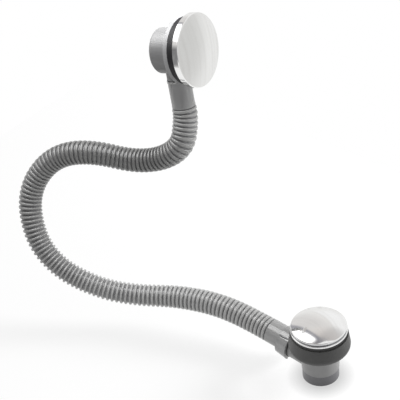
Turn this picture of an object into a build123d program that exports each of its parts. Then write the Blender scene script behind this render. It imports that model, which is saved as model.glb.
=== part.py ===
from build123d import *
import math
import os

# Bath waste with a push plug, a corrugated overflow hose and an overflow head, in millimetres.
# The origin is on the waste's axis, in the plane where the bath floor is clamped between the cone seal below
# and the flange gasket above. +Z is up the waste's axis, and the side port points to -X.

# Clearances
free_gap = 0.3
slide_fit = 0.05
screw_gap = 0.4

# Waste body, depths measured down from the clamp plane
outlet_radius = 20.0
outlet_bore_radius = 17.2
outlet_length = 12.5
outlet_end_depth = 59.5
barrel_foot_radius = 20.5
barrel_foot_chamfer = 0.6
barrel_top_radius = 21.4
barrel_top_depth = 22.0
seat_radius = 27.0
seat_depth = 15.0
seat_thickness = 3.0
neck_wall = 2.4
neck_top_depth = 1.0

# Side port
port_depth = 38.0
port_rise_deg = 5.8
port_neck_radius = 15.0
port_neck_height = 20.8
port_cone_gap = 0.4
spigot_radius = 10.0
spigot_bore_radius = 8.0
spigot_length = 18.0
port_seal_thickness = 1.2
port_seal_radius = 15.6

# Screw, insert and spider
screw_radius = 3.0
insert_radius = 4.6
insert_length = 10.0
boss_radius = 6.6
boss_top_depth = 19.0
boss_cover = 3.0
rib_width = 3.0
rib_height = 9.0

# Cone seal
cone_wall = 6.4
cone_top_inset = 2.0
cone_waist_depth = 12.8
cone_lip = 1.9
cone_height = 20.6

# Chrome flange and gasket
gasket_radius = 30.2
gasket_thickness = 4.5
flange_radius = 30.8
flange_thickness = 2.0
flange_edge_round = 0.6
skirt_radius = 21.6
skirt_wall = 2.0
skirt_depth = 16.0
flange_boss_radius = 7.5
flange_boss_top_depth = 11.0
spoke_height = 4.0
spoke_width = 3.4
screw_head_radius = 6.0
screw_head_height = 3.5
screw_tip_depth = 31.0

# Push mechanism
clicker_radius = 7.0
clicker_bore_radius = 4.75
clicker_floor = 1.2
clicker_top = 4.0
clicker_cap_thickness = 1.5
plunger_foot_depth = 4.0
plunger_head_radius = 6.0
plunger_head_gap = 0.2
plunger_hollow_radius = 2.6
plunger_hollow_top = 4.5
stud_radius = 2.4
stud_length = 4.0
cam_thickness = 1.5
cam_tooth_count = 6
spring_radius = 1.9
spring_wire_radius = 0.35
spring_turns = 6

# Plug
plug_radius = 30.3
plug_band_gap = 0.3
plug_band_height = 4.6
plug_dome_height = 5.6
plug_edge_round = 1.3
plug_skirt_wall = 1.5
plug_seal_outer_radius = 27.5
plug_seal_inner_radius = 23.5
plug_seal_thickness = 2.0
plug_hollow_radius = 21.0
plug_hollow_height = 3.5
plug_boss_radius = 8.0

# Overflow head: centre of its wall plane, which faces +X before it is turned, tilted up and rolled
head_centre = (-187.6, 47.4, 264.6)
head_yaw_deg = 11.5
head_tilt_deg = 12.1
head_roll_deg = 10.4
washer_inset = 4.0
washer_bore_radius = 25.5
washer_thickness = 9.7
head_flange_inset = 0.4
head_flange_thickness = 5.2
cup_radius = 24.5
cup_wall = 2.5
cup_depth = 26.0
cup_edge_round = 2.5
head_spigot_depth = 10.5
head_neck_radius = 12.4
head_neck_reach = 30.6
head_seal_thickness = 1.2
cuff_relief = 1.0
head_boss_radius = 6.6
head_boss_height = 16.0
grid_inset = 7.0
grid_thickness = 3.0
grid_hub_radius = 9.0
grid_hub_height = 5.0
grid_slot_count = 8
grid_slot_inner = 13.0
grid_slot_outer = 21.0
grid_slot_width = 6.0
head_screw_head_radius = 5.4
head_screw_head_height = 3.0
head_screw_tip_gap = 1.0
cover_radius = 39.6
cover_rim_height = 6.5
cover_dome_height = 4.0
cover_edge_round = 1.2
cover_wall = 1.6
cover_sleeve_radius = 13.0
cover_ring_wall = 1.4
cover_ring_height = 2.0
inlet_width = 30.0
inlet_height = 3.6

# Hose: cuffs, and the free route between them from the port to the head
hose_radius = 13.2
hose_bore_radius = 10.4
lower_cuff_radius = 13.5
lower_cuff_length = 32.8
upper_cuff_radius = 12.6
upper_cuff_length = 31.5
lower_run = 44.0
upper_run = 45.6
route = [
    (-130.3, -7.6, -21.0),
    (-180.0, -23.7, -20.8),
    (-221.1, -51.3, -20.0),
    (-257.9, -72.5, -12.6),
    (-302.1, -88.7, 5.8),
    (-334.4, -90.8, 37.8),
    (-352.1, -75.0, 85.9),
    (-335.1, -48.6, 124.7),
    (-294.3, -28.1, 140.2),
    (-236.1, 1.0, 127.1),
    (-191.0, 17.4, 152.2),
]
corner_share = 0.45

# Collar over the lower cuff
collar_length = 13.8
collar_wall = 1.2
grip_height = 3.8
grip_span_deg = 102.0
grip_draft_deg = 6.0
grip_rounding = 1.0

os.makedirs("parts", exist_ok=True)


def finish(builder, name):
    builder.part.label = name
    export_step(builder.part, f"parts/{name}.step")


def ring_face(plane, outer, inner=0.0):
    with BuildSketch(plane) as face:
        Circle(outer)
        if inner > 0:
            Circle(inner, mode=Mode.SUBTRACT)
    return face.sketch


def turned_face(plane, points):
    with BuildSketch(plane) as face:
        Polygon(*points, align=None)
    return face.sketch


def dome_face(plane, radius, bottom, rim_top, top, edge_round=0.0):
    """Half section of a shallow dome on an upright band, with the axis along the sketch's Y."""
    with BuildSketch(plane) as face:
        with BuildLine():
            Polyline((0, top), (0, bottom), (radius, bottom), (radius, rim_top))
            TangentArc((0, top), (radius, rim_top), tangent=(1, 0))
        make_face()
        if edge_round > 0:
            fillet(face.vertices().group_by(Axis.X)[-1].sort_by(Axis.Y)[-1], radius=edge_round)
    return face.sketch


# Levels and fits worked out from the sizes above
neck_bore_radius = skirt_radius + screw_gap
neck_radius = neck_bore_radius + neck_wall
screw_hole_radius = screw_radius + screw_gap
pocket_radius = insert_radius + free_gap
insert_top = -boss_top_depth - boss_cover
boss_foot = insert_top - insert_length
flange_bottom = gasket_thickness
flange_top = flange_bottom + flange_thickness
screw_seat = -flange_boss_top_depth
clicker_foot = screw_seat + screw_head_height
clicker_floor_top = clicker_foot + clicker_floor
cap_top = clicker_top + clicker_cap_thickness
plug_under = flange_top + plug_seal_thickness
plug_band_bottom = flange_top + plug_band_gap
plug_band_top = plug_band_bottom + plug_band_height
plunger_radius = clicker_bore_radius - slide_fit

cone_waist_radius = seat_radius + cone_wall
cone_top_radius = cone_waist_radius - cone_top_inset
cone_foot_radius = seat_radius + free_gap + cone_lip
port_face_reach = cone_waist_radius + port_cone_gap
port_rise = math.radians(port_rise_deg)
port_plane = Plane(
    origin=(0, 0, -port_depth),
    x_dir=(0, 1, 0),
    z_dir=(-math.cos(port_rise), 0, math.sin(port_rise)),
)
hose_start_reach = port_face_reach + port_seal_thickness

head_yaw = math.radians(head_yaw_deg)
head_tilt = math.radians(head_tilt_deg)
head_roll = math.radians(head_roll_deg)
head_normal = Vector(
    math.cos(head_tilt) * math.cos(head_yaw),
    math.cos(head_tilt) * math.sin(head_yaw),
    math.sin(head_tilt),
)
head_side = Vector(math.sin(head_yaw), -math.cos(head_yaw), 0)
head_down = head_normal.cross(head_side) * math.cos(head_roll) + head_side * math.sin(head_roll)
head = Plane(origin=head_centre, x_dir=head_down, z_dir=head_normal)
head_turn = Plane(origin=head_centre, x_dir=head_down, z_dir=head_down.cross(head_normal))
head_axis = Axis(head_centre, head_normal)
washer_radius = cover_radius - washer_inset
head_flange_radius = washer_radius - head_flange_inset
grid_radius = cover_radius - grid_inset
head_flange_front = -washer_thickness
head_flange_back = head_flange_front - head_flange_thickness
cup_back = head_flange_back - cup_depth
cup_floor = cup_back + cup_wall
head_spigot_level = head_flange_back - head_spigot_depth
spigot_plane = Plane(
    origin=head.from_local_coords((0, 0, head_spigot_level)),
    x_dir=head_normal,
    z_dir=head_down,
)
hose_end_reach = head_neck_reach + head_seal_thickness
head_insert_front = cup_floor + head_boss_height
head_insert_back = head_insert_front - insert_length
head_screw_seat = grid_thickness + grid_hub_height - head_screw_head_height - head_screw_tip_gap
cover_sleeve_bore = grid_hub_radius + free_gap + cover_ring_wall + free_gap

# Waste body: barrel, outlet, seat flange and neck turned as one, then the port, the bores and the spider
barrel_foot_depth = outlet_end_depth - outlet_length
seat_under_depth = seat_depth + seat_thickness
body_outline = [
    (0, -outlet_end_depth),
    (outlet_radius, -outlet_end_depth),
    (outlet_radius, -barrel_foot_depth),
    (barrel_foot_radius, -barrel_foot_depth + barrel_foot_chamfer),
    (barrel_top_radius, -barrel_top_depth),
    (seat_radius, -seat_under_depth),
    (seat_radius, -seat_depth),
    (neck_radius, -seat_depth),
    (neck_radius, -neck_top_depth),
    (0, -neck_top_depth),
]
body_cavity = [
    (0, -outlet_end_depth),
    (outlet_bore_radius, -outlet_end_depth),
    (outlet_bore_radius, -barrel_top_depth),
    (neck_bore_radius, -seat_under_depth + free_gap),
    (neck_bore_radius, -neck_top_depth),
    (0, -neck_top_depth),
]
port_root_reach = (barrel_foot_radius + outlet_bore_radius) / 2
with BuildPart() as waste_body:
    revolve(turned_face(Plane.XZ, body_outline), axis=Axis.Z)
    with BuildSketch(port_plane):
        Circle(port_neck_radius)
        Rectangle(2 * port_neck_radius, port_neck_height, mode=Mode.INTERSECT)
    extrude(amount=port_face_reach)
    extrude(ring_face(port_plane, spigot_radius), amount=port_face_reach + spigot_length)
    revolve(turned_face(Plane.XZ, body_cavity), axis=Axis.Z, mode=Mode.SUBTRACT)
    extrude(
        ring_face(port_plane.offset(outlet_bore_radius / 2), spigot_bore_radius),
        amount=port_face_reach + spigot_length,
        mode=Mode.SUBTRACT,
    )
    with BuildSketch(Plane.XY.offset(-boss_top_depth - boss_cover)):
        with PolarLocations(port_root_reach / 2, 4, start_angle=45):
            Rectangle(port_root_reach, rib_width)
    extrude(amount=-rib_height)
    extrude(ring_face(Plane.XY.offset(-boss_top_depth), boss_radius), amount=boss_foot + boss_top_depth)
    extrude(
        ring_face(Plane.XY.offset(boss_foot), pocket_radius),
        amount=insert_length,
        mode=Mode.SUBTRACT,
    )
    extrude(
        ring_face(Plane.XY.offset(boss_foot), screw_hole_radius),
        amount=insert_length + boss_cover,
        mode=Mode.SUBTRACT,
    )
finish(waste_body, "waste_body")


def hexagon_insert(plane, length):
    with BuildSketch(plane) as face:
        RegularPolygon(insert_radius, 6)
        Circle(screw_radius + free_gap, mode=Mode.SUBTRACT)
    return extrude(face.sketch, amount=length, mode=Mode.PRIVATE)


with BuildPart() as clamp_insert:
    add(hexagon_insert(Plane.XY.offset(boss_foot), insert_length))
finish(clamp_insert, "clamp_insert")

# Cone seal: sits on the seat flange, wraps its edge and rounds in underneath
with BuildPart() as cone_seal:
    with BuildSketch(Plane.XZ):
        with BuildLine():
            Polyline(
                (cone_foot_radius, -cone_height),
                (seat_radius + free_gap, -cone_height),
                (seat_radius + free_gap, -seat_depth),
                (neck_radius + free_gap, -seat_depth),
                (neck_radius + free_gap, 0),
                (cone_top_radius, 0),
                (cone_waist_radius, -cone_waist_depth),
            )
            TangentArc(
                (cone_waist_radius, -cone_waist_depth),
                (cone_foot_radius, -cone_height),
                tangent=(cone_top_inset, -cone_waist_depth),
            )
        make_face()
    revolve(axis=Axis.Z)
finish(cone_seal, "cone_seal")

with BuildPart() as flange_gasket:
    extrude(ring_face(Plane.XY, gasket_radius, skirt_radius + screw_gap), amount=gasket_thickness)
finish(flange_gasket, "flange_gasket")

# Chrome flange: rim and skirt turned as one, spokes and boss at the foot of the skirt
skirt_bore_radius = skirt_radius - skirt_wall
with BuildPart() as waste_flange:
    extrude(
        ring_face(Plane.XY.offset(flange_bottom), flange_radius, skirt_bore_radius),
        amount=flange_thickness,
    )
    round_edges = waste_flange.edges().filter_by(GeomType.CIRCLE)
    fillet(round_edges.filter_by(lambda edge: edge.radius == flange_radius), radius=flange_edge_round)
    extrude(
        ring_face(Plane.XY.offset(-skirt_depth), skirt_radius, skirt_bore_radius),
        amount=skirt_depth + flange_bottom,
    )
    with BuildSketch(Plane.XY.offset(-skirt_depth)):
        with PolarLocations((skirt_bore_radius + skirt_wall / 2) / 2, 4):
            Rectangle(skirt_bore_radius + skirt_wall / 2, spoke_width)
    extrude(amount=spoke_height)
    extrude(
        ring_face(Plane.XY.offset(-skirt_depth), flange_boss_radius),
        amount=skirt_depth - flange_boss_top_depth,
    )
    extrude(
        ring_face(Plane.XY.offset(-skirt_depth), screw_hole_radius),
        amount=skirt_depth - flange_boss_top_depth,
        mode=Mode.SUBTRACT,
    )
finish(waste_flange, "waste_flange")

with BuildPart() as clamp_screw:
    extrude(ring_face(Plane.XY.offset(screw_seat), screw_head_radius), amount=screw_head_height)
    extrude(ring_face(Plane.XY.offset(screw_seat), screw_radius), amount=-screw_tip_depth - screw_seat)
finish(clamp_screw, "clamp_screw")

# Push mechanism: cup, guide cap, hollow plunger with its cam ring, and the coil spring inside
with BuildPart() as clicker_body:
    extrude(ring_face(Plane.XY.offset(clicker_foot), clicker_radius), amount=clicker_top - clicker_foot)
    extrude(
        ring_face(Plane.XY.offset(clicker_floor_top), clicker_bore_radius),
        amount=clicker_top - clicker_floor_top,
        mode=Mode.SUBTRACT,
    )
finish(clicker_body, "clicker_body")

with BuildPart() as clicker_cap:
    extrude(
        ring_face(Plane.XY.offset(clicker_top), clicker_radius, clicker_bore_radius),
        amount=clicker_cap_thickness,
    )
finish(clicker_cap, "clicker_cap")

plunger_head_bottom = cap_top + plunger_head_gap
with BuildPart() as clicker_plunger:
    extrude(
        ring_face(Plane.XY.offset(-plunger_foot_depth), plunger_radius),
        amount=plunger_head_bottom + plunger_foot_depth,
    )
    extrude(
        ring_face(Plane.XY.offset(plunger_head_bottom), plunger_head_radius),
        amount=plug_under - plunger_head_bottom,
    )
    extrude(ring_face(Plane.XY.offset(plug_under), stud_radius), amount=stud_length)
    extrude(
        ring_face(Plane.XY.offset(-plunger_foot_depth), plunger_hollow_radius),
        amount=plunger_foot_depth + plunger_hollow_top,
        mode=Mode.SUBTRACT,
    )
finish(clicker_plunger, "clicker_plunger")

cam_radius = plunger_radius - free_gap
with BuildPart() as clicker_cam:
    extrude(
        ring_face(Plane.XY.offset(-plunger_foot_depth), cam_radius, plunger_hollow_radius),
        amount=-cam_thickness,
    )
    with BuildSketch(Plane.XY.offset(-plunger_foot_depth - cam_thickness)):
        with PolarLocations(cam_radius, cam_tooth_count):
            Rectangle(cam_thickness, cam_thickness)
    extrude(amount=cam_thickness / 2, mode=Mode.SUBTRACT)
finish(clicker_cam, "clicker_cam")

spring_foot = clicker_floor_top + spring_wire_radius
spring_height = plunger_hollow_top - spring_wire_radius - spring_foot
with BuildPart() as clicker_spring:
    with BuildLine() as coil:
        Helix(
            pitch=spring_height / spring_turns,
            height=spring_height,
            radius=spring_radius,
            center=(0, 0, spring_foot),
        )
    with BuildSketch(Plane(origin=coil.line @ 0, z_dir=coil.line % 0)):
        Circle(spring_wire_radius)
    sweep(path=coil.line, is_frenet=True)
finish(clicker_spring, "clicker_spring")

# Plug: shallow dome on a polished band, hollow underneath round the stud boss
plug_top = plug_band_top + plug_dome_height
with BuildPart() as plug_dome:
    revolve(
        dome_face(Plane.XZ, plug_radius, plug_band_bottom, plug_band_top, plug_top, plug_edge_round),
        axis=Axis.Z,
    )
    extrude(
        ring_face(Plane.XY.offset(plug_band_bottom), plug_radius - plug_skirt_wall),
        amount=plug_under - plug_band_bottom,
        mode=Mode.SUBTRACT,
    )
    extrude(
        ring_face(Plane.XY.offset(plug_under), plug_hollow_radius, plug_boss_radius),
        amount=plug_hollow_height,
        mode=Mode.SUBTRACT,
    )
    extrude(
        ring_face(Plane.XY.offset(plug_under), stud_radius + free_gap),
        amount=stud_length + free_gap,
        mode=Mode.SUBTRACT,
    )
finish(plug_dome, "plug_dome")

with BuildPart() as plug_seal:
    extrude(
        ring_face(Plane.XY.offset(flange_top), plug_seal_outer_radius, plug_seal_inner_radius),
        amount=plug_seal_thickness,
    )
finish(plug_seal, "plug_seal")

# Side port: rubber ring on the port's face, and the collar with two side grips that holds the lower cuff
with BuildPart() as port_seal:
    extrude(
        ring_face(port_plane.offset(port_face_reach), port_seal_radius, spigot_radius + free_gap),
        amount=port_seal_thickness,
    )
finish(port_seal, "port_seal")

collar_bore_radius = lower_cuff_radius + free_gap
collar_radius = collar_bore_radius + collar_wall
grip_radius = collar_radius + grip_height
gap_half_angle = math.radians(90 - grip_span_deg / 2)
gap_corners = [
    (reach * math.cos(turn), reach * math.sin(turn))
    for reach, turn in (
        (collar_bore_radius, -gap_half_angle),
        (2 * grip_radius, -gap_half_angle),
        (2 * grip_radius, gap_half_angle),
        (collar_bore_radius, gap_half_angle),
    )
]
with BuildPart() as hose_collar:
    with BuildSketch(port_plane.offset(hose_start_reach)):
        Circle(grip_radius)
        with PolarLocations(0, 2, start_angle=90):
            Polygon(*gap_corners, align=None, mode=Mode.SUBTRACT)
        fillet(vertices().sort_by(lambda vertex: vertex.center().length)[-4:], grip_rounding)
    extrude(amount=collar_length, taper=grip_draft_deg)
    extrude(ring_face(port_plane.offset(hose_start_reach), collar_radius), amount=collar_length)
    extrude(
        ring_face(port_plane.offset(hose_start_reach), collar_bore_radius),
        amount=collar_length,
        mode=Mode.SUBTRACT,
    )
finish(hose_collar, "hose_collar")

# Hose: the route runs from the port's face to the head's spigot, and each corner's arc is as large as fits
start_point = port_plane.from_local_coords((0, 0, hose_start_reach))
second_point = port_plane.from_local_coords((0, 0, hose_start_reach + lower_run))
last_point = spigot_plane.from_local_coords((0, 0, hose_end_reach))
fore_point = spigot_plane.from_local_coords((0, 0, hose_end_reach + upper_run))
hose_points = [Vector(start_point), Vector(second_point)]
hose_points += [Vector(*point) for point in route]
hose_points += [Vector(fore_point), Vector(last_point)]
corner_radii = []
for before, corner, after in zip(hose_points, hose_points[1:], hose_points[2:]):
    run_in = corner - before
    run_out = after - corner
    half_turn = math.radians(run_in.get_angle(run_out)) / 2
    corner_radii.append(corner_share * min(run_in.length, run_out.length) / math.tan(half_turn))
print("hose corner radii, mm:", [round(radius, 1) for radius in corner_radii])

with BuildPart() as overflow_hose:
    with BuildLine() as hose_line:
        FilletPolyline(*hose_points, radius=corner_radii)
    with BuildSketch(port_plane.offset(hose_start_reach)):
        Circle(hose_radius)
    sweep(path=hose_line.line)
    extrude(ring_face(port_plane.offset(hose_start_reach), lower_cuff_radius), amount=lower_cuff_length)
    extrude(
        ring_face(spigot_plane.offset(hose_end_reach), 2 * hose_radius, upper_cuff_radius),
        amount=upper_cuff_length,
        mode=Mode.SUBTRACT,
    )
    with BuildSketch(port_plane.offset(hose_start_reach)):
        Circle(hose_bore_radius)
    sweep(path=hose_line.line, mode=Mode.SUBTRACT)
finish(overflow_hose, "overflow_hose")
hose_length = sum(edge.length for edge in hose_line.edges())
tube_volume = math.pi * (hose_radius**2 - hose_bore_radius**2) * hose_length
print("hose length, mm:", round(hose_length, 1))
print("hose volume against plain tube:", round(overflow_hose.part.volume / tube_volume, 4))

with BuildPart() as spigot_seal:
    extrude(
        ring_face(spigot_plane.offset(head_neck_reach), upper_cuff_radius, spigot_radius + free_gap),
        amount=head_seal_thickness,
    )
finish(spigot_seal, "spigot_seal")

# Overflow head: cup, flange and spigot moulded as one, with a screw boss on the cup's floor
with BuildPart() as overflow_body:
    extrude(ring_face(head.offset(cup_back), cup_radius), amount=cup_depth)
    fillet(overflow_body.edges().sort_by(head_axis)[0], radius=cup_edge_round)
    extrude(ring_face(head.offset(head_flange_back), head_flange_radius), amount=head_flange_thickness)
    extrude(
        ring_face(spigot_plane.offset(head_neck_reach), upper_cuff_radius + cuff_relief),
        amount=spigot_length,
        mode=Mode.SUBTRACT,
    )
    extrude(ring_face(spigot_plane, head_neck_radius), amount=head_neck_reach)
    extrude(ring_face(spigot_plane, spigot_radius), amount=head_neck_reach + spigot_length)
    extrude(
        ring_face(head.offset(cup_floor), cup_radius - cup_wall),
        amount=head_flange_front - cup_floor,
        mode=Mode.SUBTRACT,
    )
    extrude(
        ring_face(spigot_plane, spigot_bore_radius),
        amount=head_neck_reach + spigot_length,
        mode=Mode.SUBTRACT,
    )
    extrude(ring_face(head.offset(cup_floor), head_boss_radius), amount=head_boss_height)
    extrude(
        ring_face(head.offset(head_insert_back), pocket_radius),
        amount=insert_length,
        mode=Mode.SUBTRACT,
    )
finish(overflow_body, "overflow_body")

with BuildPart() as overflow_insert:
    add(hexagon_insert(head.offset(head_insert_back), insert_length))
finish(overflow_insert, "overflow_insert")

with BuildPart() as overflow_washer:
    extrude(
        ring_face(head.offset(-washer_thickness), washer_radius, washer_bore_radius),
        amount=washer_thickness,
    )
finish(overflow_washer, "overflow_washer")

grid_slot_length = grid_slot_outer - grid_slot_inner
with BuildPart() as overflow_grid:
    extrude(ring_face(head, grid_radius), amount=grid_thickness)
    extrude(ring_face(head, grid_hub_radius), amount=grid_thickness + grid_hub_height)
    with BuildSketch(head):
        with PolarLocations(grid_slot_inner + grid_slot_length / 2, grid_slot_count):
            SlotOverall(grid_slot_length, grid_slot_width)
    extrude(amount=grid_thickness, mode=Mode.SUBTRACT)
    extrude(ring_face(head, screw_hole_radius), amount=grid_thickness + grid_hub_height, mode=Mode.SUBTRACT)
    extrude(
        ring_face(head.offset(head_screw_seat), head_screw_head_radius + screw_gap),
        amount=grid_thickness + grid_hub_height - head_screw_seat,
        mode=Mode.SUBTRACT,
    )
finish(overflow_grid, "overflow_grid")

with BuildPart() as overflow_screw:
    extrude(ring_face(head.offset(head_screw_seat), head_screw_head_radius), amount=head_screw_head_height)
    extrude(
        ring_face(head.offset(head_screw_seat), screw_radius),
        amount=head_insert_back + head_screw_tip_gap - head_screw_seat,
    )
finish(overflow_screw, "overflow_screw")

with BuildPart() as cover_ring:
    extrude(
        ring_face(
            head.offset(grid_thickness),
            grid_hub_radius + free_gap + cover_ring_wall,
            grid_hub_radius + free_gap,
        ),
        amount=cover_ring_height,
    )
finish(cover_ring, "cover_ring")

# Cover: shallow dome on a polished rim, with a sleeve over the grid's hub and a water inlet below
cover_top = cover_rim_height + cover_dome_height
inner_dome_top = cover_top - cover_wall
with BuildPart() as overflow_cover:
    revolve(
        dome_face(head_turn, cover_radius, 0, cover_rim_height, cover_top, cover_edge_round),
        axis=head_axis,
    )
    revolve(
        dome_face(head_turn, cover_radius - cover_wall, 0, cover_rim_height - cover_wall, inner_dome_top),
        axis=head_axis,
        mode=Mode.SUBTRACT,
    )
    extrude(
        ring_face(head.offset(grid_thickness), cover_sleeve_radius, cover_sleeve_bore),
        amount=inner_dome_top - grid_thickness,
    )
    with BuildSketch(head):
        with Locations((cover_radius, 0)):
            Rectangle(cover_radius, inlet_width)
    extrude(amount=inlet_height, mode=Mode.SUBTRACT)
finish(overflow_cover, "overflow_cover")
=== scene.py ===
import math

import bpy
from mathutils import Matrix, Quaternion, Vector


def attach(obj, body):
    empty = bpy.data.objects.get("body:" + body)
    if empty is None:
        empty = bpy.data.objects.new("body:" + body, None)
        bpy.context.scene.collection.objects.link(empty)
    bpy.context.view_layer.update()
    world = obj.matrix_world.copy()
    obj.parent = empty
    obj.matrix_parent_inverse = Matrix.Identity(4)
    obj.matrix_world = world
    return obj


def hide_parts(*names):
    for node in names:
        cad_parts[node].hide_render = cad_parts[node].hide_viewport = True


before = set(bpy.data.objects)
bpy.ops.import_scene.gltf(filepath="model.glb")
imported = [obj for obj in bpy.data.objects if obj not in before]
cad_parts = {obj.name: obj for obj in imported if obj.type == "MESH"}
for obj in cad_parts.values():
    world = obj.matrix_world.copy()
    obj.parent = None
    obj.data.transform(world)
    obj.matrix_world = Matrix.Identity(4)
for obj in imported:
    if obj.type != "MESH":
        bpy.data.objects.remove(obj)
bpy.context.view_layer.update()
bpy.ops.object.select_all(action="DESELECT")


# Camera. The picture was taken from the front right, looking down at about the angle of a
# person at a table, with a fairly long lens on a square frame that leans a little.
camera_place = (0.7028, -0.8882, 1.0253)
camera_azimuth = math.radians(44.0)
camera_elevation = math.radians(36.5)
camera_lean = math.radians(-5.97)
camera_field = math.radians(16.0)
bpy.ops.object.camera_add(location=camera_place)
camera = bpy.context.object
camera.data.angle = camera_field
camera_back = Vector((
    math.sin(camera_azimuth) * math.cos(camera_elevation),
    -math.cos(camera_azimuth) * math.cos(camera_elevation),
    math.sin(camera_elevation),
))
camera_turn = (-camera_back).to_track_quat("-Z", "Y") @ Quaternion((0, 0, 1), camera_lean)
camera.rotation_euler = camera_turn.to_euler()
bpy.context.scene.camera = camera


# Waste body. One injection moulding in grey polypropylene: outlet, barrel, side port and seat
# flange. Its plain outlet end fits a push-fit trap and is painted darker than the barrel, as painted shade.
def linear(hexa):
    """Linear colour of an sRGB hex value."""
    parts = [int(hexa[place:place + 2], 16) / 255 for place in (1, 3, 5)]
    return [c / 12.92 if c <= 0.04045 else ((c + 0.055) / 1.055) ** 2.4 for c in parts] + [1.0]


def add_node(tree, kind, settings=None, links=None):
    """Adds a node, sets its properties or sockets, and links its sockets."""
    node = tree.nodes.new(kind)
    for key, value in (settings or {}).items():
        if isinstance(key, str) and key not in node.inputs:
            setattr(node, key, value)
        else:
            node.inputs[key].default_value = value
    for key, source in (links or {}).items():
        tree.links.new(source, node.inputs[key])
    return node


def start_material(name, roughness, grain_mm, grain_depth_mm=0.0, gloss=0.5, metallic=0.0):
    """A material with a noise of the given grain, used for its tint and, if deep, for its bump."""
    material = bpy.data.materials.new(name)
    material.use_nodes = True
    tree = material.node_tree
    shader = tree.nodes["Principled BSDF"]
    shader.inputs["Roughness"].default_value = roughness
    shader.inputs["Specular IOR Level"].default_value = gloss
    shader.inputs["Metallic"].default_value = metallic
    place = add_node(tree, "ShaderNodeTexCoord")
    grain = add_node(tree, "ShaderNodeTexNoise", {"Scale": 1000 / grain_mm, "Detail": 3.0}, {
        "Vector": place.outputs["Object"]})
    if grain_depth_mm > 0:
        bump = add_node(tree, "ShaderNodeBump", {"Distance": grain_depth_mm / 1000, "Strength": 1.0}, {
            "Height": grain.outputs["Fac"]})
        tree.links.new(bump.outputs["Normal"], shader.inputs["Normal"])
    return material, tree, shader, place, grain


def tint(tree, shader, fac, low, high):
    """Colours the shader between two hex values by a factor."""
    mix = add_node(tree, "ShaderNodeMix", {"data_type": "RGBA", 6: linear(low), 7: linear(high)}, {0: fac})
    tree.links.new(mix.outputs[2], shader.inputs["Base Color"])
    return mix


def dress(material, *names):
    """Gives CAD nodes a material."""
    for name in names:
        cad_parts[name].material_slots[0].material = material


# A 9 mm flow cloud under a satin skin, so that no moulded wall is one flat grey
body_plastic, tree, shader, place, grain = start_material(
    "moulded_polypropylene", roughness=0.34, grain_mm=9.0, gloss=0.8)
cloud = tint(tree, shader, grain.outputs["Fac"], "#757576", "#848483")
# Painted shade: below this height the outlet end is painted darker, standing in for shade near the table
outlet_shade_top, outlet_shade_blur = -0.047, 0.0004
height = add_node(tree, "ShaderNodeSeparateXYZ", links={"Vector": place.outputs["Object"]})
outlet_shade = add_node(tree, "ShaderNodeMapRange", {
    "From Min": outlet_shade_top - outlet_shade_blur, "From Max": outlet_shade_top + outlet_shade_blur,
    "To Min": 1.0, "To Max": 0.0}, {"Value": height.outputs["Z"]})
outlet_shaded = add_node(tree, "ShaderNodeMix", {"data_type": "RGBA", 7: linear("#5c5c5f")}, {
    0: outlet_shade.outputs["Result"], 6: cloud.outputs[2]})
tree.links.new(outlet_shaded.outputs[2], shader.inputs["Base Color"])
dress(body_plastic, "waste_body")


# Seals. The cone that presses on the bath from below, the gasket under the chrome flange and
# the rings in the joints and under the plug are soft rubber mouldings.
# Rubber bloom: a 6 mm cloud of slightly paler dust
cone_rubber, tree, shader, place, grain = start_material("cone_rubber", roughness=0.5, grain_mm=6.0)
tint(tree, shader, grain.outputs["Fac"], "#353535", "#444443")
dress(cone_rubber, "cone_seal", "port_seal")

# A fine 0.8 mm skin that breaks up the sheen
black_rubber, tree, shader, place, grain = start_material(
    "black_rubber", roughness=0.55, grain_mm=0.8, grain_depth_mm=0.02)
tint(tree, shader, grain.outputs["Fac"], "#1c1c1d", "#2a2a2a")
dress(black_rubber, "flange_gasket", "spigot_seal", "plug_seal", "cover_ring")


# Chrome flange. A pressed and plated brass ring that sits in the bath's waste hole and is
# drawn down on its gasket by the clamp screw.
# Polishing haze: a 14 mm cloud in the roughness and the tint
chrome_clear, chrome_hazy = 0.06, 0.12
chrome, tree, shader, place, grain = start_material(
    "polished_chrome", roughness=chrome_clear, grain_mm=14.0, metallic=1.0)
tint(tree, shader, grain.outputs["Fac"], "#ededec", "#f3f3f3")
haze = add_node(tree, "ShaderNodeMapRange", {"To Min": chrome_clear, "To Max": chrome_hazy}, {
    "Value": grain.outputs["Fac"]})
tree.links.new(haze.outputs["Result"], shader.inputs["Roughness"])
dress(chrome, "waste_flange")


# Screws, brass inserts and the push mechanism. One screw draws the flange down on the body, the
# other clamps the head's grid, each in its insert. The clicker stands on the first screw's head
# and carries the plug.
# Zinc plate: a fine 0.3 mm grain that dulls the steel
steel, tree, shader, place, grain = start_material(
    "zinc_plated_steel", roughness=0.3, grain_mm=0.3, grain_depth_mm=0.01, metallic=1.0)
tint(tree, shader, grain.outputs["Fac"], "#a4a5a8", "#bcbdbf")
dress(steel, "clamp_screw", "overflow_screw", "clicker_spring")

# Brass, a little dulled in 2 mm patches
brass, tree, shader, place, grain = start_material(
    "turned_brass", roughness=0.28, grain_mm=2.0, metallic=1.0)
tint(tree, shader, grain.outputs["Fac"], "#b08d4a", "#cbab68")
dress(brass, "clamp_insert", "overflow_insert", "clicker_body")

# Acetal: nearly even white with a 4 mm milky cloud
acetal, tree, shader, place, grain = start_material("white_acetal", roughness=0.4, grain_mm=4.0)
tint(tree, shader, grain.outputs["Fac"], "#dcdcd8", "#ebebe7")
dress(acetal, "clicker_cap", "clicker_plunger", "clicker_cam", "overflow_grid")


# Plug. A chrome-plated pressing with a shallow dome, a rolled bead and a neck, hollow
# below round the boss that takes the plunger's stud. A push on the dome opens or shuts it.
# Its neck is dressed in duller steel as painted shade in the gap under the bead.
sharp_edge = math.radians(25)
merge_distance = 0.00001


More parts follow.
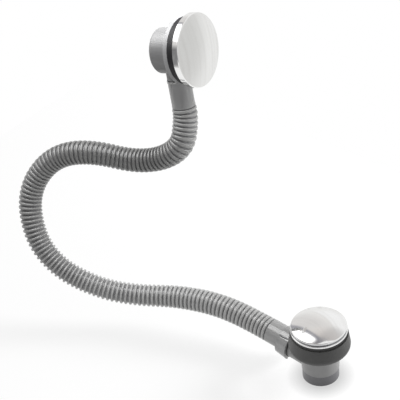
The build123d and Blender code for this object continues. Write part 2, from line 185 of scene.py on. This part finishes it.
def dome_outline(radius, rim_top, top, edge_round, dome_steps=24, edge_steps=8):
    """Points from the axis out over a shallow dome and its rounded edge, as (radius, height) in mm."""
    rise = top - rim_top
    ball = (radius**2 + rise**2) / (2 * rise)
    centre_height = top - ball
    round_centre = radius - edge_round
    reach = ball - edge_round
    lean = math.asin(round_centre / reach)
    round_height = centre_height + reach * math.cos(lean)
    points = []
    for step in range(dome_steps + 1):
        turn = lean * step / dome_steps
        points.append((ball * math.sin(turn), centre_height + ball * math.cos(turn)))
    for step in range(1, edge_steps + 1):
        turn = lean + (math.pi / 2 - lean) * step / edge_steps
        out, up = edge_round * math.sin(turn), edge_round * math.cos(turn)
        points.append((round_centre + out, round_height + up))
    return points


def spun(name, outline, steps=128):
    """A closed piece turned about Z from (radius, height) points in mm that start and end on the axis."""
    mesh = bpy.data.meshes.new(name)
    edges = [(at, at + 1) for at in range(len(outline) - 1)]
    mesh.from_pydata([(radius / 1000, 0, level / 1000) for radius, level in outline], edges, [])
    piece = bpy.data.objects.new(name, mesh)
    bpy.context.scene.collection.objects.link(piece)
    bpy.ops.object.select_all(action="DESELECT")
    piece.select_set(True)
    bpy.context.view_layer.objects.active = piece
    bpy.ops.object.mode_set(mode="EDIT")
    bpy.ops.mesh.select_all(action="SELECT")
    bpy.ops.mesh.spin(steps=steps, angle=2 * math.pi, center=(0, 0, 0), axis=(0, 0, 1))
    bpy.ops.mesh.select_all(action="SELECT")
    bpy.ops.mesh.remove_doubles(threshold=merge_distance)
    bpy.ops.mesh.normals_make_consistent(inside=False)
    bpy.ops.object.mode_set(mode="OBJECT")
    bpy.ops.object.shade_smooth_by_angle(angle=sharp_edge)
    return piece


plug_radius, plug_neck_radius, plug_edge = 30.3, 29.0, 1.5
plug_band_foot, plug_bead_foot, plug_band_top, plug_top = 6.8, 9.7, 10.8, 17.0
plug_bead_step, plug_bead_drop = 0.4, 0.2
plug_skirt_bore, plug_under = 27.8, 8.5
plug_hollow, plug_hollow_top, plug_boss = 21.0, 12.0, 8.0
stud_hole, stud_hole_top = 2.7, 12.8
plug = spun("plug_dome_plated", dome_outline(plug_radius, plug_band_top, plug_top, plug_edge) + [
    (plug_neck_radius + plug_bead_step, plug_bead_foot),
    (plug_neck_radius, plug_bead_foot - plug_bead_drop), (plug_neck_radius, plug_band_foot),
    (plug_skirt_bore, plug_band_foot), (plug_skirt_bore, plug_under),
    (plug_hollow, plug_under), (plug_hollow, plug_hollow_top), (plug_boss, plug_hollow_top),
    (plug_boss, plug_under), (stud_hole, plug_under), (stud_hole, stud_hole_top), (0, stud_hole_top),
])
plug.data.materials.append(chrome)
plug.data.materials.append(steel)
# Painted shade: the neck under the bead takes the duller steel, standing in for the gap's shade
for face in plug.data.polygons:
    if face.center.z * 1000 < plug_bead_foot and face.center.xy.length * 1000 > plug_skirt_bore:
        face.material_index = 1
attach(plug, "plug")
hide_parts("plug_dome")


# Hose collar. A grey polypropylene moulding that clamps the hose's lower cuff on the port,
# with two broad side grips for the fingers.
# The body's satin plastic, shinier and a shade lighter
collar_plastic, tree, shader, place, grain = start_material(
    "collar_polypropylene", roughness=0.2, grain_mm=7.0, gloss=0.8)
cloud = tint(tree, shader, grain.outputs["Fac"], "#838384", "#929291")
# Painted highlight along the grips' long edges, and painted shade in the corner beside them
port_up, port_drop = (0.1009, 0.0, 0.9949), 0.0378
grip_edge, grip_edge_radius = math.radians(49.0), 0.0160
highlight_half_width, corner_shade_half_width = math.radians(2.6), math.radians(4.5)
above_origin = add_node(tree, "ShaderNodeVectorMath", {"operation": "DOT_PRODUCT", 1: port_up}, {
    0: place.outputs["Object"]})
over_axis = add_node(tree, "ShaderNodeMath", {"operation": "ADD", 1: port_drop}, {
    0: above_origin.outputs["Value"]})
sides = add_node(tree, "ShaderNodeSeparateXYZ", links={"Vector": place.outputs["Object"]})
beside_axis = add_node(tree, "ShaderNodeMath", {"operation": "ABSOLUTE"}, {0: sides.outputs["Y"]})
turned = add_node(tree, "ShaderNodeMath", {"operation": "ARCTAN2"}, {
    0: over_axis.outputs[0], 1: beside_axis.outputs[0]})
from_middle = add_node(tree, "ShaderNodeMath", {"operation": "ABSOLUTE"}, {0: turned.outputs[0]})
on_section = add_node(tree, "ShaderNodeCombineXYZ", links={
    "X": over_axis.outputs[0], "Y": beside_axis.outputs[0]})
off_axis = add_node(tree, "ShaderNodeVectorMath", {"operation": "LENGTH"}, {0: on_section.outputs[0]})
on_grip = add_node(tree, "ShaderNodeMath", {"operation": "GREATER_THAN", 1: grip_edge_radius}, {
    0: off_axis.outputs["Value"]})
at_edge = add_node(tree, "ShaderNodeMath", {"operation": "COMPARE", 1: grip_edge, 2: highlight_half_width}, {
    0: from_middle.outputs[0]})
highlight_share = add_node(tree, "ShaderNodeMath", {"operation": "MULTIPLY"}, {
    0: on_grip.outputs[0], 1: at_edge.outputs[0]})
# Painted highlight: a pale line along each grip's upper edge
grip_highlighted = add_node(tree, "ShaderNodeMix", {"data_type": "RGBA", 7: linear("#cfcfce")}, {
    0: highlight_share.outputs[0], 6: cloud.outputs[2]})
off_grip = add_node(tree, "ShaderNodeMath", {"operation": "SUBTRACT", 0: 1.0}, {1: on_grip.outputs[0]})
in_corner = add_node(tree, "ShaderNodeMath", {
    "operation": "COMPARE", 1: grip_edge + corner_shade_half_width, 2: corner_shade_half_width}, {
    0: from_middle.outputs[0]})
corner_shade_share = add_node(tree, "ShaderNodeMath", {"operation": "MULTIPLY"}, {
    0: off_grip.outputs[0], 1: in_corner.outputs[0]})
# Painted shade: a dark line in the corner beside each grip
corner_shaded = add_node(tree, "ShaderNodeMix", {"data_type": "RGBA", 7: linear("#57575a")}, {
    0: corner_shade_share.outputs[0], 6: grip_highlighted.outputs[2]})
tree.links.new(corner_shaded.outputs[2], shader.inputs["Base Color"])
dress(collar_plastic, "hose_collar")


# Overflow hose. A blow-moulded polypropylene tube with a plain cuff at each end. It is pushed
# on the waste's side port, lies in one long stiff curve and goes up to the head.
hose_route_mm = [
    (-34.82, 0.0, -34.46), (-78.60, 0.0, -30.02),
    (-130.3, -7.6, -21.0), (-180.0, -23.7, -20.8), (-221.1, -51.3, -20.0), (-257.9, -72.5, -12.6),
    (-302.1, -88.7, 5.8), (-334.4, -90.8, 37.8), (-352.1, -75.0, 85.9), (-335.1, -48.6, 124.7),
    (-294.3, -28.1, 140.2), (-236.1, 1.0, 127.1), (-191.0, 17.4, 152.2),
    (-193.51, 31.94, 184.84), (-197.82, 34.40, 202.25), (-204.37, 38.13, 228.69),
]
hose_curve = bpy.data.curves.new("hose_route", "CURVE")
hose_curve.dimensions = "3D"
hose_curve.resolution_u = 64
hose_spline = hose_curve.splines.new("NURBS")
hose_spline.points.add(len(hose_route_mm) - 1)
for point, spot in zip(hose_spline.points, hose_route_mm):
    point.co = (spot[0] / 1000, spot[1] / 1000, spot[2] / 1000, 1)
hose_spline.order_u = 3
hose_spline.use_endpoint_u = True
hose_line = bpy.data.objects.new("hose_route", hose_curve)
bpy.context.scene.collection.objects.link(hose_line)
bpy.context.view_layer.update()
line_mesh = bpy.data.meshes.new_from_object(hose_line)
line_points = [vertex.co.copy() for vertex in line_mesh.vertices]
bpy.data.objects.remove(hose_line)
line_reach = [0.0]
for before, after in zip(line_points, line_points[1:]):
    line_reach.append(line_reach[-1] + (after - before).length)


def line_at(reach):
    """Point and direction of the hose's line at a distance along it, in metres."""
    low, high = 0, len(line_reach) - 1
    while high - low > 1:
        middle = (low + high) // 2
        if line_reach[middle] <= reach:
            low = middle
        else:
            high = middle
    part = (reach - line_reach[low]) / (line_reach[high] - line_reach[low])
    first, last = max(low - 1, 0), min(high + 1, len(line_points) - 1)
    along = (line_points[high] - line_points[first]).lerp(line_points[last] - line_points[low], part)
    return line_points[low].lerp(line_points[high], part), along.normalized()


def between(table, x):
    """Value at x on a line through the table's points."""
    for (x0, y0), (x1, y1) in zip(table, table[1:]):
        if x <= x1:
            return y0 + (y1 - y0) * max(0.0, (x - x0) / (x1 - x0))
    return table[-1][1]


# Along the hose, as shares of its length: diameter over the ridges and their depth in mm,
# share of the pitch that a ridge takes up, how peaked a ridge is and how pale the plastic is
# painted. The lower left stretch is pulled out and paler; elsewhere the paleness is painted
# light, lighter or darker where the lamps and the table light the hose more or less.
ridge_diameter = [
    (0.05, 27.2), (0.12, 27.1), (0.20, 26.4), (0.27, 25.4), (0.36, 25.2), (0.44, 25.7), (0.50, 26.6),
    (0.55, 26.7), (0.62, 27.0), (0.70, 27.2), (0.77, 26.6), (0.83, 27.0), (0.88, 28.0), (0.92, 28.0),
    (0.95, 27.0), (1.0, 25.6),
]
ridge_depth = [(0.05, 1.7), (0.20, 1.8), (0.30, 2.2), (0.42, 2.3), (0.50, 2.0), (0.65, 1.8), (1.0, 1.8)]
ridge_share = [(0.05, 0.80), (0.2, 0.76), (0.3, 0.62), (0.42, 0.56), (0.52, 0.64), (0.62, 0.70), (1.0, 0.74)]
ridge_peak = [(0.05, 0.55), (0.22, 0.7), (0.32, 1.1), (0.42, 1.1), (0.52, 0.8), (0.65, 0.6), (1.0, 0.6)]
# Partly real paleness of the pulled-out stretch, partly painted light along the rest
pale_and_painted_light = [
    (0.0, 0.9), (0.12, 0.85), (0.2, 0.9), (0.30, 0.95), (0.37, 0.88), (0.46, 0.5), (0.55, 0.24),
    (0.66, 0.09), (0.84, 0.03), (0.93, 0.42), (1.0, 0.38),
]
ridge_pitch, ridge_steps = 5.1, 8
lower_cuff_radius, lower_cuff_length = 13.5, 32.8
upper_cuff_radius, upper_cuff_length = 12.6, 31.5
hose_bore, bore_steps, bore_tone = 10.4, 130, 0.2
around = 64
# Outlines of the cuffs: distance from the mouth or, on the upper ring, from the last ridge,
# step out from the cuff's radius, both in mm, and tone, from a groove's painted shade at 0 to a ridge's
# colour at 1
lower_cuff = [(0.0, -0.4, 0.4), (0.5, 0.0, 0.5), (15.0, 0.0, 0.5), (32.0, 0.0, 0.5)]
upper_ring = [(0.0, -0.4, 0.3), (0.7, 0.25, 0.6), (2.6, 0.25, 0.6), (3.4, 0.0, 0.5)]
upper_lip = [(-10.0, 0.0, 0.5), (-2.8, 0.0, 0.5), (-2.3, 0.5, 0.8), (-0.5, 0.5, 0.8), (0.0, 0.0, 0.6)]

length_mm = line_reach[-1] * 1000
ridged_length = length_mm - lower_cuff_length - upper_cuff_length
ridge_count = round(ridged_length / ridge_pitch)
true_pitch = ridged_length / ridge_count
rings = [(reach, lower_cuff_radius + out, tone) for reach, out, tone in lower_cuff]
for ridge in range(ridge_count):
    start = lower_cuff_length + ridge * true_pitch
    share = (start + true_pitch / 2) / length_mm
    crest = between(ridge_diameter, share) / 2
    depth = between(ridge_depth, share)
    width = between(ridge_share, share)
    peak = between(ridge_peak, share)
    rings.append((start, crest - depth, 0.0))
    for step in range(ridge_steps + 1):
        turn = math.pi * step / ridge_steps
        rise = math.sin(turn) ** peak if 0 < step < ridge_steps else 0.0
        reach = start + true_pitch * (0.5 - 0.5 * width * math.cos(turn))
        rings.append((reach, crest - depth * (1 - rise), rise))
for start, outline in ((length_mm - upper_cuff_length, upper_ring), (length_mm, upper_lip)):
    rings += [(start + reach, upper_cuff_radius + out, tone) for reach, out, tone in outline]
bore_rings = [(length_mm * step / bore_steps, hose_bore, bore_tone) for step in range(bore_steps, -1, -1)]

hose_verts, hose_faces, hose_rise, hose_pale_and_light, hose_centres = [], [], [], [], []
side = Vector((0, 0, 1))
for reach, radius, rise in rings + bore_rings:
    centre, along = line_at(reach / 1000)
    side = (side - along * side.dot(along)).normalized()
    across = along.cross(side)
    if len(hose_centres) < len(rings):
        hose_centres.append(centre)
    for corner in range(around):
        turn = 2 * math.pi * corner / around
        out = side * math.cos(turn) + across * math.sin(turn)
        hose_verts.append(centre + out * (radius / 1000))
        hose_rise.append(rise)
        hose_pale_and_light.append(between(pale_and_painted_light, reach / length_mm))
ring_total = len(rings) + len(bore_rings)
for ring in range(ring_total):
    following = (ring + 1) % ring_total
    for corner in range(around):
        beside = (corner + 1) % around
        hose_faces.append((
            ring * around + corner, ring * around + beside,
            following * around + beside, following * around + corner,
        ))
hose_mesh = bpy.data.meshes.new("corrugated_hose")
hose_mesh.from_pydata(hose_verts, [], hose_faces)
hose = bpy.data.objects.new("corrugated_hose", hose_mesh)
bpy.context.scene.collection.objects.link(hose)
for attribute, values in (("ridge_rise", hose_rise), ("pale_and_painted_light", hose_pale_and_light)):
    hose_mesh.attributes.new(attribute, "FLOAT", "POINT").data.foreach_set("value", values)
bpy.ops.object.select_all(action="DESELECT")
hose.select_set(True)
bpy.context.view_layer.objects.active = hose
bpy.ops.object.mode_set(mode="EDIT")
bpy.ops.mesh.select_all(action="SELECT")
bpy.ops.mesh.normals_make_consistent(inside=False)
bpy.ops.object.mode_set(mode="OBJECT")
ridge_crease = math.radians(50)
bpy.ops.object.shade_smooth_by_angle(angle=ridge_crease)

# Grooves painted dark between paler ridges as painted shade, paler still where the tube is
# pulled out and painted lighter or darker along its length as painted light, and each a
# little clouded every 5 mm as blown tube is
cloud_strength = 0.16
hose_plastic, tree, shader, place, grain = start_material(
    "blown_polypropylene", roughness=0.22, grain_mm=5.0, gloss=0.6)
rise_node = add_node(tree, "ShaderNodeAttribute", {"attribute_name": "ridge_rise"})
pale_and_light_node = add_node(tree, "ShaderNodeAttribute", {"attribute_name": "pale_and_painted_light"})
groove_painted_shade = add_node(tree, "ShaderNodeMix", {
    "data_type": "RGBA", 6: linear("#545455"), 7: linear("#7d7d7e")}, {0: pale_and_light_node.outputs["Fac"]})
crest_shade = add_node(tree, "ShaderNodeMix", {
    "data_type": "RGBA", 6: linear("#5f5f5e"), 7: linear("#acacab")}, {0: pale_and_light_node.outputs["Fac"]})
# Painted shade: the grooves take the darker colour, the ridges the paler one
groove_shaded = add_node(tree, "ShaderNodeMix", {"data_type": "RGBA"}, {
    0: rise_node.outputs["Fac"], 6: groove_painted_shade.outputs[2], 7: crest_shade.outputs[2]})
cloud_share = add_node(tree, "ShaderNodeMath", {"operation": "MULTIPLY", 1: cloud_strength}, {
    0: grain.outputs["Fac"]})
clouded = add_node(tree, "ShaderNodeMix", {"data_type": "RGBA", 7: linear("#5f5f60")}, {
    0: cloud_share.outputs[0], 6: groove_shaded.outputs[2]})
tree.links.new(clouded.outputs[2], shader.inputs["Base Color"])
hose.data.materials.append(hose_plastic)
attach(hose, "waste")
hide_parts("overflow_hose")


# Overflow body and washer. The grey cup with its flange and down spigot is one polypropylene
# moulding. The dark rubber washer in front of it seals on the back of the bath's wall.
# The waste body's flow cloud in a darker and duller grey, with a painted highlight that makes the flange and
# all in front of its back face paler
head_plastic, tree, shader, place, grain = start_material(
    "head_polypropylene", roughness=0.42, grain_mm=9.0, gloss=0.7)
cloud = tint(tree, shader, grain.outputs["Fac"], "#5e5e5f", "#6c6c6c")
head_centre = Vector((-0.1876, 0.0474, 0.2646))
head_yaw, head_tilt, head_roll = (math.radians(turn) for turn in (11.5, 12.1, 10.4))
head_normal = Vector((
    math.cos(head_tilt) * math.cos(head_yaw), math.cos(head_tilt) * math.sin(head_yaw), math.sin(head_tilt)))
head_flange_back, highlight_blur = -0.0149, 0.0002
flange_start = head_centre.dot(head_normal) + head_flange_back
forward = add_node(tree, "ShaderNodeVectorMath", {"operation": "DOT_PRODUCT", 1: head_normal}, {
    0: place.outputs["Object"]})
on_flange = add_node(tree, "ShaderNodeMapRange", {
    "From Min": flange_start - highlight_blur, "From Max": flange_start}, {"Value": forward.outputs["Value"]})
# Painted highlight: paler from the flange's back face forward
flange_highlighted = add_node(tree, "ShaderNodeMix", {"data_type": "RGBA", 7: linear("#7e7e7f")}, {
    0: on_flange.outputs["Result"], 6: cloud.outputs[2]})
tree.links.new(flange_highlighted.outputs[2], shader.inputs["Base Color"])
dress(head_plastic, "overflow_body")

# Dark washer with a faint violet cast, dusted every 5 mm
washer_rubber, tree, shader, place, grain = start_material(
    "washer_rubber", roughness=0.5, grain_mm=5.0, gloss=0.3)
tint(tree, shader, grain.outputs["Fac"], "#0c0b0e", "#161518")
dress(washer_rubber, "overflow_washer")


# Overflow cover. A chrome-plated pressing that clips over the grid's hub, with an inlet cut
# in the foot of its rim, so that the water enters from below.
cover_radius, cover_rim_top, cover_top, cover_edge = 39.6, 6.5, 10.5, 1.2
cover_wall, cover_inner_edge = 1.6, 0.2
sleeve_radius, sleeve_bore, sleeve_foot = 13.0, 11.0, 3.0
inlet_width, inlet_height, cut_past = 30.0, 3.6, 2.0
head_side = Vector((math.sin(head_yaw), -math.cos(head_yaw), 0))
head_down = head_normal.cross(head_side) * math.cos(head_roll) + head_side * math.sin(head_roll)
head_across = head_normal.cross(head_down)
head_place = Matrix((head_down, head_across, head_normal)).transposed().to_4x4()
head_place.translation = head_centre

inside = dome_outline(
    cover_radius - cover_wall, cover_rim_top - cover_wall, cover_top - cover_wall, cover_inner_edge)
inside_over_sleeve = [point for point in inside if point[0] > sleeve_radius]
inside_in_sleeve = [point for point in inside if point[0] < sleeve_bore]
cover = spun("overflow_cover_plated", dome_outline(cover_radius, cover_rim_top, cover_top, cover_edge) + [
    (cover_radius, 0.0), (cover_radius - cover_wall, 0.0),
] + inside_over_sleeve[::-1] + [
    (sleeve_radius, inside_over_sleeve[0][1]), (sleeve_radius, sleeve_foot), (sleeve_bore, sleeve_foot),
    (sleeve_bore, inside_in_sleeve[-1][1]),
] + inside_in_sleeve[::-1])
cutter_place = (cover_radius / 1000, 0, (inlet_height - cut_past) / 2000)
bpy.ops.mesh.primitive_cube_add(size=1, location=cutter_place)
cutter = bpy.context.object
cutter.scale = (cover_radius / 1000, inlet_width / 1000, (inlet_height + cut_past) / 1000)
bpy.ops.object.select_all(action="DESELECT")
cover.select_set(True)
bpy.context.view_layer.objects.active = cover
cut = cover.modifiers.new("inlet", "BOOLEAN")
cut.operation = "DIFFERENCE"
cut.solver = "EXACT"
cut.object = cutter
bpy.ops.object.modifier_apply(modifier=cut.name)
bpy.data.objects.remove(cutter)
bpy.ops.object.shade_smooth_by_angle(angle=sharp_edge)
cover.data.transform(head_place)
cover.data.materials.append(chrome)
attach(cover, "waste")
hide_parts("overflow_cover")


# Studio table. A sheet of opal plastic lit from below, so that it is white and keeps a faint
# shadow. Its glow is weaker round the outlet's foot, a painted shadow where the foot stands on it.
floor_level = -0.0595
floor_size, floor_place = 0.95, (-0.17, -0.12, floor_level)
bpy.ops.mesh.primitive_plane_add(size=floor_size, location=floor_place)
floor = bpy.context.object
floor.name = "floor"
opal = bpy.data.materials.new("opal_table")
opal.use_nodes = True
tree = opal.node_tree
shader = tree.nodes["Principled BSDF"]
shader.inputs["Roughness"].default_value = 1.0
shader.inputs["Specular IOR Level"].default_value = 0.0
shader.inputs["Base Color"].default_value = linear("#a2a2a2")
shader.inputs["Emission Color"].default_value = linear("#ffffff")
glow_strength, painted_shadow_glow = 0.765, 0.425
foot_radius, foot_shade_reach = 0.020, 0.0185
foot_shade_middle = (0.0020, -0.0022, floor_level)
# Painted shadow: the glow fades to a weaker strength towards a middle just off the outlet's axis
on_table = add_node(tree, "ShaderNodeNewGeometry")
from_foot = add_node(tree, "ShaderNodeVectorMath", {"operation": "DISTANCE", 1: foot_shade_middle}, {
    0: on_table.outputs["Position"]})
table_glow_with_painted_shadow = add_node(tree, "ShaderNodeMapRange", {
    "From Min": foot_radius, "From Max": foot_radius + foot_shade_reach,
    "To Min": painted_shadow_glow, "To Max": glow_strength}, {"Value": from_foot.outputs["Value"]})
tree.links.new(table_glow_with_painted_shadow.outputs["Result"], shader.inputs["Emission Strength"])
floor.data.materials.append(opal)


# Studio lamps. A long softbox hangs over the hose's loop, a far one at the back throws the
# shadow, and two small ones brighten the hose's last bend and the overflow head.
def add_lamp(name, place, size, power, in_mirrors=False):
    """A square lamp that faces down and that the camera doesn't see."""
    bpy.ops.object.light_add(type="AREA", location=place)
    lamp = bpy.context.object
    lamp.name = name
    lamp.visible_camera = False
    lamp.visible_glossy = in_mirrors
    lamp.data.size = size
    lamp.data.energy = power
    return lamp


def aim_lamp(lamp, spot):
    """Turns a lamp to a spot."""
    lamp.rotation_euler = (Vector(spot) - lamp.location).to_track_quat("-Z", "Y").to_euler()


def gather(name, *pieces):
    """A collection of pieces for a lamp's links."""
    collection = bpy.data.collections.new(name)
    for piece in pieces:
        collection.objects.link(piece)
    return collection


box_place, box_turn = (-0.573, -0.112, 0.66), math.radians(168)
box_length, box_width, box_radiance = 0.95, 0.56, 5.6
box_power = box_radiance * math.pi * box_length * box_width
loop_softbox = add_lamp("loop_softbox", box_place, box_length, box_power, in_mirrors=True)
loop_softbox.rotation_euler = (0, 0, box_turn)
loop_softbox.data.shape = "RECTANGLE"
loop_softbox.data.size_y = box_width
# The cloth of the softbox is dimmer along its edges, over these shares of its length and width
length_fade, width_fade = 0.1, 0.12
loop_softbox.data.use_nodes = True
tree = loop_softbox.data.node_tree
on_cloth = add_node(tree, "ShaderNodeNewGeometry")
cloth_place = add_node(tree, "ShaderNodeSeparateXYZ", links={"Vector": on_cloth.outputs["Parametric"]})
fades = []
for axis, fade in (("X", length_fade), ("Y", width_fade)):
    off_centre = add_node(tree, "ShaderNodeMath", {"operation": "SUBTRACT", 1: 0.5}, {
        0: cloth_place.outputs[axis]})
    from_centre = add_node(tree, "ShaderNodeMath", {"operation": "ABSOLUTE"}, {0: off_centre.outputs[0]})
    fades.append(add_node(tree, "ShaderNodeMapRange", {
        "interpolation_type": "SMOOTHSTEP", "From Min": 0.5, "From Max": 0.5 - fade}, {
        "Value": from_centre.outputs[0]}))
cloth_glow = add_node(tree, "ShaderNodeMath", {"operation": "MULTIPLY"}, {
    0: fades[0].outputs["Result"], 1: fades[1].outputs["Result"]})
tree.links.new(cloth_glow.outputs[0], tree.nodes["Emission"].inputs["Strength"])
# It is flagged off the table, and the polished pieces see its cloth at a white's own level
box_cloth_radiance = 1.3
polished = (plug, cover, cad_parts["waste_flange"])
off_polish = gather("off_table_and_polish", floor, *polished)
for row in off_polish.collection_objects:
    row.light_linking.link_state = "EXCLUDE"
loop_softbox.light_linking.receiver_collection = off_polish
cloth = loop_softbox.copy()
cloth.data = loop_softbox.data.copy()
bpy.context.scene.collection.objects.link(cloth)
cloth.name = "loop_softbox_cloth"
cloth.data.energy = box_cloth_radiance * math.pi * box_length * box_width
cloth.light_linking.receiver_collection = gather("on_polish", *polished)

# Only the hose, its collar and the cone seal throw the back softbox's shadow on the table
back_place, back_spot = (1.25, 1.7, 0.95), (-0.15, 0, 0)
back_size, back_radiance = 0.84, 24.0
back_softbox = add_lamp("back_softbox", back_place, back_size, back_radiance * math.pi * back_size**2)
aim_lamp(back_softbox, back_spot)
back_softbox.light_linking.blocker_collection = gather(
    "shadow_casters", hose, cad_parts["hose_collar"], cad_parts["cone_seal"])

# A small, narrow softbox on the right brightens the hose's last bend and upper run
bend_place, bend_spot = (0.10, 0.12, 0.15), (-0.19, 0.02, 0.135)
bend_size, bend_spread, bend_power = 0.12, math.radians(30), 0.045
bend_softbox = add_lamp("bend_softbox", bend_place, bend_size, bend_power)
aim_lamp(bend_softbox, bend_spot)
bend_softbox.data.spread = bend_spread
bend_softbox.light_linking.receiver_collection = gather("on_hose", hose)

# The head's lamp lights only its cup and washer, which are kept out of mirror images, so that
# they don't cut a notch in the softbox's shape on the plug
head_lamp_place, head_lamp_size, head_lamp_radiance = (-0.26, 0.25, 0.53), 0.24, 26.0
head_lamp_power = head_lamp_radiance * math.pi * head_lamp_size**2
head_lamp = add_lamp("head_lamp", head_lamp_place, head_lamp_size, head_lamp_power)
aim_lamp(head_lamp, head_centre)
cup_and_washer = [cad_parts[name] for name in ("overflow_body", "overflow_washer")]
for piece in cup_and_washer:
    piece.visible_glossy = False
head_lamp.light_linking.receiver_collection = gather("on_head", *cup_and_washer)


# Surround. It is white for the camera and an even grey for light. Reflections see a room: pale
# at the horizon, greyer towards the ceiling, dim behind the camera and beside the softbox, with
# walls, a window and a lamp at the front.
world = bpy.data.worlds.new("studio")
bpy.context.scene.world = world
world.use_nodes = True
tree = world.node_tree
background = tree.nodes["Background"]
path = add_node(tree, "ShaderNodeLightPath")
direction = add_node(tree, "ShaderNodeTexCoord")
heading = add_node(tree, "ShaderNodeSeparateXYZ", links={"Vector": direction.outputs["Generated"]})
rising = add_node(tree, "ShaderNodeMath", {"operation": "ARCSINE"}, {0: heading.outputs["Z"]})
rising_share = add_node(tree, "ShaderNodeMapRange", {"From Min": 0.0, "From Max": math.pi / 2}, {
    "Value": rising.outputs[0]})
# Shades from the horizon up, at shares of a right angle
ceiling_stops = [
    (0.0, "#f6f6f5"), (0.4, "#f0eeec"), (0.57, "#e8e6e4"), (0.67, "#e5e1de"),
    (0.76, "#dbd6d3"), (0.81, "#d0cbc8"), (0.85, "#b6b3b3"), (0.93, "#8c8a8e"),
]
ceiling = add_node(tree, "ShaderNodeValToRGB", links={"Fac": rising_share.outputs["Result"]})
for stop in ceiling_stops[1:-1]:
    ceiling.color_ramp.elements.new(stop[0])
for element, (spot, shade) in zip(ceiling.color_ramp.elements, ceiling_stops):
    element.position = spot
    element.color = linear(shade)


def facing(aim, low, high):
    """How far a direction turns to an aim, from 0 at the low cosine to 1 at the high one."""
    turned = add_node(tree, "ShaderNodeVectorMath", {"operation": "DOT_PRODUCT", 1: aim}, {
        0: direction.outputs["Generated"]})
    return add_node(tree, "ShaderNodeMapRange", {
        "interpolation_type": "SMOOTHSTEP", "From Min": low, "From Max": high}, {
        "Value": turned.outputs["Value"]})


def level(azimuth):
    """Level direction at an azimuth in degrees."""
    return math.cos(math.radians(azimuth)), math.sin(math.radians(azimuth)), 0.0


def streaks(across, width, low, high):
    """Streaks of a width in radians, from 0 at the low value of a noise to 1 at the high one."""
    noise = add_node(tree, "ShaderNodeTexNoise", {
        "noise_dimensions": "1D", "Scale": 1 / width, "Detail": 2.0, "Roughness": 0.6}, {"W": across})
    return add_node(tree, "ShaderNodeMapRange", {"From Min": low, "From Max": high}, {
        "Value": noise.outputs["Fac"]})


above_table = add_node(tree, "ShaderNodeMapRange", {"From Min": -0.05, "From Max": 0.05}, {
    "Value": heading.outputs["Z"]})
below_eye = add_node(tree, "ShaderNodeMapRange", {"From Min": 0.15, "From Max": 0.0}, {
    "Value": heading.outputs["Z"]})
above_sill = add_node(tree, "ShaderNodeMapRange", {"From Min": 0.08, "From Max": 0.2}, {
    "Value": rising_share.outputs["Result"]})
below_rafters = add_node(tree, "ShaderNodeMapRange", {"From Min": 0.66, "From Max": 0.46}, {
    "Value": rising_share.outputs["Result"]})
camera_side = facing(level(-46), 0.35, 0.7)
front_left = facing(level(-115), 0.84, 0.96)
right_wall = facing(level(38), 0.78, 0.97)
left_half = facing(level(180), 0.0, 0.2)
high_corner = facing((0.16, 0.44, 0.883), 0.90, 0.99)
front_lamp = facing((0.309, 0.0, 0.951), 0.94, 0.95)
window_aim = Vector((0.542, 0.698, -0.469))
window = facing(window_aim, 0.0, 0.05)
left_wall = facing(-window_aim, 0.0, 0.25)
box_side = Vector((-0.205, -0.977, 0.063))
beside_box = facing(box_side, -0.13, -0.06)
off_box = facing(-box_side, -0.03, 0.0)
# Wall panels and curtain folds 3 degrees wide, and the window's own panes 4 degrees wide
fold_width, pane_width = math.radians(3), math.radians(4)
turning = add_node(tree, "ShaderNodeMath", {"operation": "ARCTAN2"}, {
    0: heading.outputs["Y"], 1: heading.outputs["X"]})
across_panes = add_node(tree, "ShaderNodeVectorMath", {"operation": "DOT_PRODUCT", 1: window_aim}, {
    0: direction.outputs["Generated"]})
folds = streaks(turning.outputs[0], fold_width, 0.48, 0.66)
panes = streaks(across_panes.outputs["Value"], pane_width, 0.46, 0.64)

# Each shade is laid over those before it, at its strength, where all of its shares are high
room_shades = [
    ("#5c5c62", 0.75, (camera_side, above_table)),
    ("#bab6b6", 0.26, (left_wall, above_sill, below_rafters)),
    ("#ffffff", 0.95, (window, above_sill, below_rafters)),
    ("#9b9a9c", 0.36, (high_corner,)),
    ("#ffffff", 1.0, (front_lamp,)),
    ("#5a5a5d", 0.85, (front_left,)),
    ("#bdbdbb", 0.55, (right_wall, below_eye)),
    ("#84858f", 0.8, (beside_box, off_box, left_half)),
    ("#bdbab7", 0.28, (folds, below_eye)),
    ("#c4c1bf", 0.17, (panes, above_sill)),
]
room = ceiling.outputs["Color"]
for shade, strength, shares in room_shades:
    whole = add_node(tree, "ShaderNodeMath", {"operation": "MULTIPLY", 1: strength}, {
        0: shares[0].outputs[0]})
    for share in shares[1:]:
        whole = add_node(tree, "ShaderNodeMath", {"operation": "MULTIPLY"}, {
            0: whole.outputs[0], 1: share.outputs[0]})
    laid = add_node(tree, "ShaderNodeMix", {"data_type": "RGBA", 7: linear(shade)}, {
        0: whole.outputs[0], 6: room})
    room = laid.outputs[2]
even_light = 0.34
for_light = add_node(tree, "ShaderNodeMix", {
    "data_type": "RGBA", 6: (even_light, even_light, even_light, 1)}, {
    0: path.outputs["Is Glossy Ray"], 7: room})
for_camera = add_node(tree, "ShaderNodeMix", {"data_type": "RGBA", 7: linear("#ffffff")}, {
    0: path.outputs["Is Camera Ray"], 6: for_light.outputs[2]})
tree.links.new(for_camera.outputs[2], background.inputs["Color"])

bpy.context.scene.view_settings.view_transform = "Standard"
